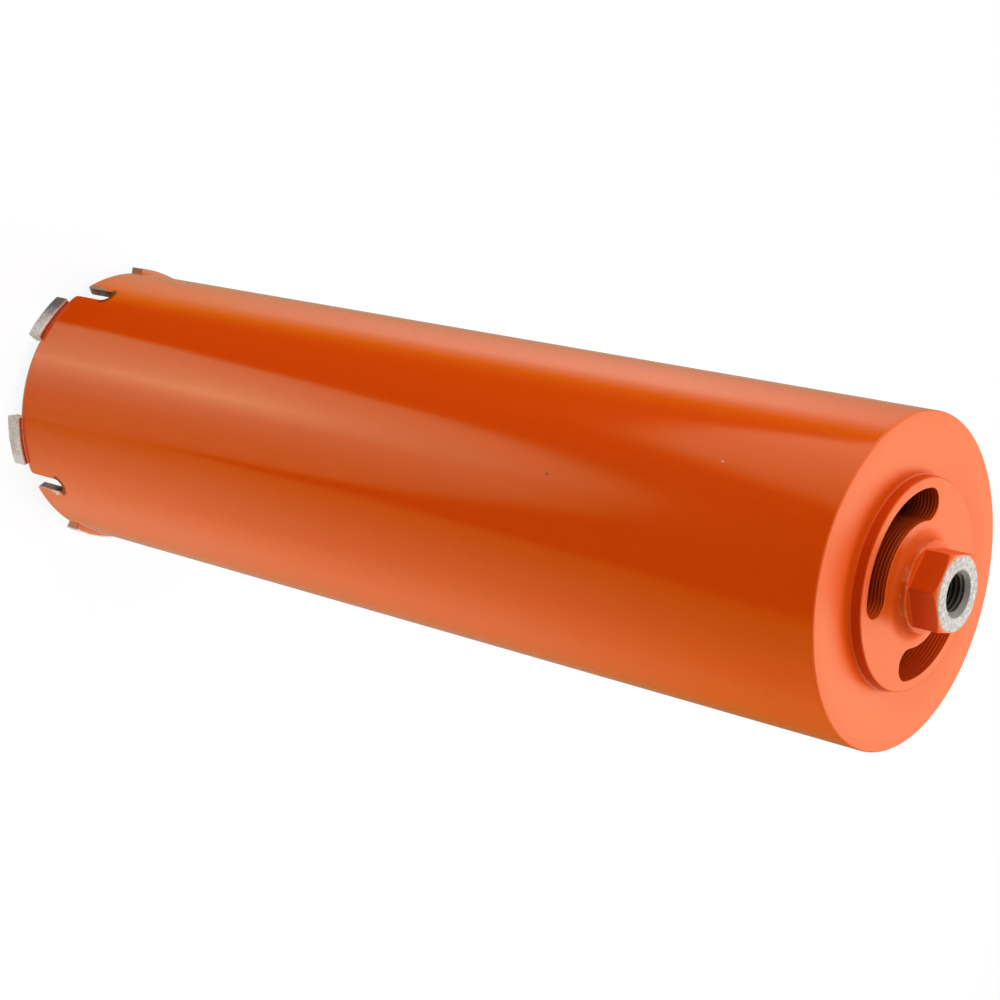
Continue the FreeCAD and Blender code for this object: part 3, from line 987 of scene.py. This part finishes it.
def grit_tree(material):
    """Diamond grains that stand a little out of the block."""
    tree, given, result = tree_inputs("segment_grit", GRIT_SIZES)
    place = tree.nodes.new("GeometryNodeInputPosition")
    level = parts_of(tree, place.outputs[0])[2]
    both = node(tree, "FunctionNodeBooleanMath",
                _0=compare(tree, "LESS_THAN", level, RIM_LEVEL - 0.0006),
                _1=compare(tree, "GREATER_THAN", level, 0.0003))
    scatter = node(tree, "GeometryNodeDistributePointsOnFaces", Mesh=given["Geometry"],
                   Selection=both.outputs[0], Density=given["Grains per square metre"],
                   Seed=given["Seed"])
    grain = node(tree, "GeometryNodeMeshIcoSphere", Radius=given["Grain radius"], Subdivisions=1)
    size = node(tree, "FunctionNodeRandomValue", Seed=given["Seed"])
    size.inputs[2].default_value = 0.5
    size.inputs[3].default_value = 1.0
    turn = node(tree, "FunctionNodeRandomValue", Seed=given["Seed"])
    turn.data_type = "FLOAT_VECTOR"
    turn.inputs[1].default_value = (2 * math.pi, 2 * math.pi, 2 * math.pi)
    planted = node(tree, "GeometryNodeInstanceOnPoints", Points=scatter.outputs[0],
                   Instance=grain.outputs[0], Rotation=turn.outputs[0], Scale=size.outputs[1])
    joined = tree.nodes.new("GeometryNodeJoinGeometry")
    tree.links.new(given["Geometry"], joined.inputs[0])
    tree.links.new(planted.outputs[0], joined.inputs[0])
    return end_tree(tree, joined.outputs[0], material, result)


def segment_metal():
    """Sintered grey metal with a mottled grain, and paint over its upper ledge."""
    material, tree, shader, spots, orange = paint("segment_metal")
    x, y, z = parts_of(tree, spots)
    grain = pattern(tree, spots, 900.0, EVEN, 4.0, 0.6)
    cloud = ramp(tree, pattern(tree, spots, 110.0, EVEN, 2.0), 0.38, 0.62)
    metal = mixed(tree, ramp(tree, grain, 0.35, 0.65), SINTER_DARK, SINTER_LIGHT)
    metal = mixed(tree, product(tree, cloud, 0.6), metal, SINTER_PALE)
    # Segments towards -y are painted darker, a painted dark reflection.
    dark_reflection = ramp(tree, scaled(tree, grain, 0.008, y), -0.034, -0.024, 0.8, 0.0)
    metal = mixed(tree, dark_reflection, metal, SINTER_REFLECTION_DARK)
    speck = scaled(tree, grain, 0.0010, -0.0005)
    outer = total(tree, reach_of(tree, x, y), speck)
    # The spray came from the two sides, and caught only the two segments that face them.
    sprayed = fall(tree, calc(tree, "ABSOLUTE", x), 0.022, 0.028)
    face = ramp(tree, outer, SEGMENT_OUTSIDE - 0.0006, SEGMENT_OUTSIDE - 0.0003)
    tip = fall(tree, total(tree, z, speck), 0.0006, 0.0012)
    below = fall(tree, z, RIM_LEVEL - 0.00035, RIM_LEVEL - 0.00012)
    below = product(tree, below, less(tree, 1.0, sprayed))
    bare = greatest(tree, face, below, tip)
    # The weld seam lies in the corner between the ledge and the tube.
    seam = fall(tree, outer, BARREL_OUTSIDE + 0.0007, BARREL_OUTSIDE + 0.0012)
    edge = ramp(tree, outer, SEGMENT_OUTSIDE - 0.0013, SEGMENT_OUTSIDE - 0.0008)
    ledge = mixed(tree, product(tree, seam, 0.85), orange, WELD_SEAM)
    ledge = mixed(tree, product(tree, edge, 0.75), ledge, WORN_EDGE)
    # On the two sprayed segments the orange is mixed to pale salmon, a painted sheen.
    ledge = mixed(tree, sprayed, ledge, mixed(tree, 0.8, orange, SIDE_SPRAY_SHEEN))
    tree.links.new(mixed(tree, bare, ledge, metal), shader.inputs["Base Color"])
    tree.links.new(product(tree, bare, 0.3), shader.inputs["Metallic"])
    tree.links.new(scaled(tree, bare, 0.22, PAINT_ROUGHNESS),
                   shader.inputs["Roughness"])
    raise_bumps(tree, shader, grain, 0.35, 0.0003)
    return material


sintered = segment_metal()
block = block_tree(sintered)
grit = grit_tree(sintered)
for number, turn in enumerate(SEGMENT_TURNS, start=1):
    segment = stand("segment_%d_block" % number, bpy.data.meshes.new("segment"))
    use_tree(segment, block, dict(BLOCK_SIZES, Turn=math.radians(turn)))
    settle(segment)
    rounded(segment, SEGMENT_ROUND)
    settle(segment)
    weigh(segment)
    use_tree(segment, grit, dict(GRIT_SIZES, Seed=number))
    settle(segment)
    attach(segment, "root")
    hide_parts("segment_%d" % number)


# Studio: a plain white floor, soft light from above and from the left, and a ring of soft
# boxes that only the gloss of the paint and the metal sees.
FLOOR_WIDTH = 30.0
FLOOR_GLOW = 0.86
FLOOR_BRIGHTNESS = 1.05
FILL_LIGHT = 0.12
BOX_WARM = (1.0, 0.985, 0.04)
BOX_COOL = (1.0, 0.985, 0.86)
SKY_TONE = (1.0, 0.98, 0.73)
PLAIN_WHITE = (1.0, 1.0, 1.0, 1.0)
BACK_WALL = 1.45
SKY_LIGHT = 0.7
CAMERA_PLACE = (0.739482, 0.022509, 0.839742)
CAMERA_RIGHT = (-0.601551, -0.241439, 0.761480)
CAMERA_UP = (0.165084, -0.970226, -0.177220)
CAMERA_BACK = (0.781597, 0.019102, 0.623500)
CAMERA_LENS = 80.247


def curve_of(tree, value, spots):
    """A line through a few (value, height) spots, straight from each to the next."""
    low, high = spots[0][0], spots[-1][0]
    bottom = min(height for where, height in spots)
    top = max(height for where, height in spots)
    share = node(tree, "ShaderNodeMapRange", Value=value)
    share.inputs["From Min"].default_value = low
    share.inputs["From Max"].default_value = high
    bend = node(tree, "ShaderNodeFloatCurve", Value=share.outputs[0])
    line = bend.mapping.curves[0]
    for k, (where, height) in enumerate(spots):
        x = (where - low) / (high - low)
        y = (height - bottom) / (top - bottom)
        if k == 0:
            line.points[0].location = (x, y)
        elif k == len(spots) - 1:
            line.points[-1].location = (x, y)
        else:
            line.points.new(x, y)
    for point in line.points:
        point.handle_type = "VECTOR"
    bend.mapping.update()
    return scaled(tree, bend.outputs[0], top - bottom, bottom)


world = bpy.data.worlds.new("studio")
world.use_nodes = True
bpy.context.scene.world = world
tree = world.node_tree
tree.nodes.clear()
sight = node(tree, "ShaderNodeTexCoord").outputs["Generated"]
x, y, z = parts_of(tree, sight)
compass = calc(tree, "DEGREES", calc(tree, "ARCTAN2", y, x))
height = calc(tree, "DEGREES", calc(tree, "ARCSINE", z))

# Left wall of light, from behind the bit round to the left, brighter higher up.
left_wall = curve_of(tree, compass, (
    (-180, 0.30), (-163, 0.38), (-151, 0.42), (-138, 0.50), (-126, 0.60), (-113, 0.66),
    (-101, 0.52), (-95, 0.28), (-88, 0.04), (-83, 0.0), (0, 0.0)))
left_glow = curve_of(tree, compass, (
    (-180, 0.0), (-150, 0.05), (-138, 0.24), (-126, 0.58), (-115, 0.98), (-107, 0.5),
    (-101, 0.08), (-88, 0.05), (-83, 0.0), (0, 0.0)))
left_rise = curve_of(tree, height, (
    (-60, 0.0), (-50, 0.0), (-43, 0.5), (-35, 1.0), (-32, 0.85), (-29, 0.5), (0, 0.4)))
left_light = total(tree, left_wall, product(tree, left_glow, left_rise))
# Long box in front, brightest near its left side, narrow at its upper end.
front_left = curve_of(tree, height, (
    (-60, -58), (-49.5, -57.4), (-47, -53), (-44.5, -48.8), (-42.3, -44.9), (-40.5, -42),
    (-38.6, -36.4), (-37, -29.8), (-36.2, -27.5), (-35.2, -21), (-34.2, -6), (0, -5)))
front_right = curve_of(tree, height, (
    (-60, 31), (-49, 30.5), (-46, 27.7), (-43.4, 24.1), (-41.6, 20.8), (-40.7, 18.4),
    (-39.7, 15.3), (-38.7, 11.6), (-37.7, 8.1), (-36.3, 5), (-35.6, 1.4), (-35.2, -4),
    (-34.2, -20), (0, -21)))
front_plain = curve_of(tree, compass, (
    (-60, 1.1), (-46, 1.25), (-34, 1.38), (-21, 1.55), (-15, 1.75), (-9, 1.55), (-3, 1.45),
    (4, 1.2), (10, 1.0), (16, 0.92), (32, 0.78)))
front_peak = curve_of(tree, compass, (
    (-60, 0.1), (-46, 0.35), (-40, 0.45), (-34, 0.9), (-28, 1.4), (-21.5, 2.1), (-15, 0.9),
    (-9, 0.25), (-3, 0.05), (4, 0.0)))
peak_height = curve_of(tree, height, (
    (-60, 0.5), (-50, 0.6), (-46, 1.15), (-43.4, 0.5), (-41.6, 0.22), (-39, 0.1), (0, 0.0)))
front_light = product(
    tree, total(tree, front_plain, product(tree, front_peak, peak_height)),
    soft_edge(tree, compass, front_left, 2.6),
    less(tree, 1.0, soft_edge(tree, compass, front_right, 1.8)),
    ramp(tree, height, -40, -34.6, 1.0, 0.42))
# Upper box in front on the left, that comes to a point below.
upper_foot = curve_of(tree, compass, (
    (-180, -20), (-100, -27), (-89, -29.8), (-85.6, -31.6), (-78, -33.7), (-69, -34.8),
    (-62, -35.4), (-54.6, -35), (-47.5, -33.5), (-41.9, -32.1), (-37, -30.5), (-20, -24),
    (0, -10), (180, 0)))
upper_light = curve_of(tree, compass, (
    (-110, 0.0), (-96, 1.3), (-89, 1.6), (-76, 1.58), (-64, 1.42), (-51, 1.18), (-44, 1.02),
    (-37, 0.9), (-15, 0.0)))
upper_light = product(tree, upper_light, soft_edge(tree, height, upper_foot, 0.9))
# Right wall of light, brightest low down.
right_start = curve_of(tree, height, (
    (-60, 29.5), (-49, 29.5), (-46, 30.6), (-41.6, 31), (-38.7, 33.4), (-36.3, 35),
    (-34, 37), (-31, 40.5), (0, 50)))
right_wall = curve_of(tree, compass, (
    (0, 0.62), (35, 0.66), (42, 0.78), (48, 0.9), (61, 1.03), (74, 1.1), (86, 1.1),
    (98, 1.1), (110, 0.98), (122, 0.78), (134, 0.58), (146, 0.46), (158, 0.40), (180, 0.32)))
right_fall = curve_of(tree, height, (
    (-60, 1.03), (-46, 1.03), (-43, 0.94), (-40, 0.91), (-37, 0.85), (-35, 0.76),
    (-33.4, 0.69), (-31, 0.6), (0, 0.55)))
right_light = product(tree, right_wall, right_fall, soft_edge(tree, compass, right_start, 1.8))
# Bright wall behind, above the floor, that the end faces mirror, and a paler sky.
behind = calc(tree, "ABSOLUTE", compass)
back_wall = product(tree, ramp(tree, behind, 95, 130), ramp(tree, height, 4, 16, 0.0, BACK_WALL),
                    fall(tree, height, 55, 80))
sky = ramp(tree, height, -6, 30, 0.0, SKY_LIGHT)
# The boxes are warm where they are weak and nearly white where they are strong. Far below,
# where only a view from above sees them, they fade and turn pale.
box_light = total(tree, left_light, front_light, upper_light, right_light)
box_light = product(tree, box_light, ramp(tree, height, -69, -57, 0.2, 1.0))
glance = curve_of(tree, behind, (
    (0, 0.0), (94, 0.002), (118, 0.017), (142, 0.052), (160, 0.107), (180, 0.2)))
glance = total(tree, glance, 0.043)
seen_light = greatest(tree, product(tree, glance, box_light), 0.001)
coolness = calc(tree, "DIVIDE", -0.0323, seen_light)
coolness = calc(tree, "MINIMUM", calc(tree, "ADD", coolness, 1.32, clamp=True), 0.84)
coolness = greatest(tree, coolness, ramp(tree, height, -67, -57, 0.8, 0.0))
boxes = node(tree, "ShaderNodeBackground", Strength=box_light,
             Color=mixed(tree, coolness, BOX_WARM, BOX_COOL))
open_sky = node(tree, "ShaderNodeBackground", Color=(*SKY_TONE, 1.0),
                Strength=total(tree, back_wall, sky))
mirrored = tree.nodes.new("ShaderNodeAddShader")
tree.links.new(boxes.outputs[0], mirrored.inputs[0])
tree.links.new(open_sky.outputs[0], mirrored.inputs[1])
fill = node(tree, "ShaderNodeBackground", Color=PLAIN_WHITE, Strength=FILL_LIGHT)
clear = node(tree, "ShaderNodeBackground", Color=PLAIN_WHITE, Strength=1.0)
ray = tree.nodes.new("ShaderNodeLightPath").outputs
lit = node(tree, "ShaderNodeMixShader", _0=ray["Is Glossy Ray"], _1=fill.outputs[0],
           _2=mirrored.outputs[0])
seen = node(tree, "ShaderNodeMixShader", _0=ray["Is Camera Ray"], _1=lit.outputs[0],
            _2=clear.outputs[0])
ending = tree.nodes.new("ShaderNodeOutputWorld")
tree.links.new(seen.outputs[0], ending.inputs["Surface"])

half = FLOOR_WIDTH / 2
floor_mesh = bpy.data.meshes.new("floor")
floor_mesh.from_pydata([(-half, -half, 0), (half, -half, 0), (half, half, 0), (-half, half, 0)],
                       [], [(0, 1, 2, 3)])
floor = stand("floor", floor_mesh)
floor_white = bpy.data.materials.new("floor_white")
floor_white.use_nodes = True
tree = floor_white.node_tree
tree.nodes.clear()
ray = tree.nodes.new("ShaderNodeLightPath").outputs
matt = node(tree, "ShaderNodeBsdfDiffuse", Color=(0.8, 0.8, 0.8, 1.0))
glow = node(tree, "ShaderNodeEmission", Color=PLAIN_WHITE, Strength=FLOOR_BRIGHTNESS)
open_air = node(tree, "ShaderNodeBsdfTransparent")
share = product(tree, ray["Is Camera Ray"], FLOOR_GLOW)
lit = node(tree, "ShaderNodeMixShader", _0=share, _1=matt.outputs[0], _2=glow.outputs[0])
see_through = greatest(tree, ray["Is Glossy Ray"], ray["Is Transmission Ray"])
seen = node(tree, "ShaderNodeMixShader", _0=see_through, _1=lit.outputs[0], _2=open_air.outputs[0])
ending = tree.nodes.new("ShaderNodeOutputMaterial")
tree.links.new(seen.outputs[0], ending.inputs["Surface"])
floor_mesh.materials.append(floor_white)


def softbox(name, place, aim, width, depth, power):
    """A soft light at a place, turned to its aim."""
    light = bpy.data.lights.new(name, "AREA")
    light.shape = "RECTANGLE"
    light.size = width
    light.size_y = depth
    light.energy = power
    lamp = bpy.data.objects.new(name, light)
    bpy.context.scene.collection.objects.link(lamp)
    lamp.location = place
    lamp.rotation_euler = (Vector(aim) - Vector(place)).to_track_quat("-Z", "Y").to_euler()
    lamp.visible_glossy = False
    lamp.visible_camera = False
    return lamp


softbox("top", (0.3, -0.2, 1.8), (0, 0, 0.4), 1.0, 1.0, 13.2)
softbox("behind_hub", (-1.0, 0.1, 1.1), (0, 0, 0.45), 0.8, 0.5, 12.0)
softbox("upper_left", (-0.3, -1.3, 1.6), (0, 0, 0.35), 1.0, 1.0, 1.7)
softbox("low_left", (0.5, -1.6, 0.3), (0, 0, 0.2), 1.0, 0.5, 10.1)
softbox("hub_left", (0.35, -0.75, 0.75), (0, 0, 0.4), 0.5, 0.5, 1.5)
softbox("right", (0.2, 1.6, 0.6), (0, 0, 0.2), 1.5, 1.0, 7.3)
softbox("rim_right", (0.42, 0.95, 0.06), (0, 0, 0.1), 0.8, 0.3, 4.9)
softbox("right_rear", (-0.9, 1.2, 0.45), (0, 0, 0.22), 0.8, 0.6, 3.5)

view = bpy.data.cameras.new("camera")
view.sensor_fit = "HORIZONTAL"
view.sensor_width = 36.0
view.lens = CAMERA_LENS
view.clip_end = 100.0
camera = bpy.data.objects.new("camera", view)
bpy.context.scene.collection.objects.link(camera)
stance = Matrix((CAMERA_RIGHT, CAMERA_UP, CAMERA_BACK)).transposed().to_4x4()
stance.translation = CAMERA_PLACE
camera.matrix_world = stance
bpy.context.scene.camera = camera
bpy.context.scene.view_settings.view_transform = "Standard"
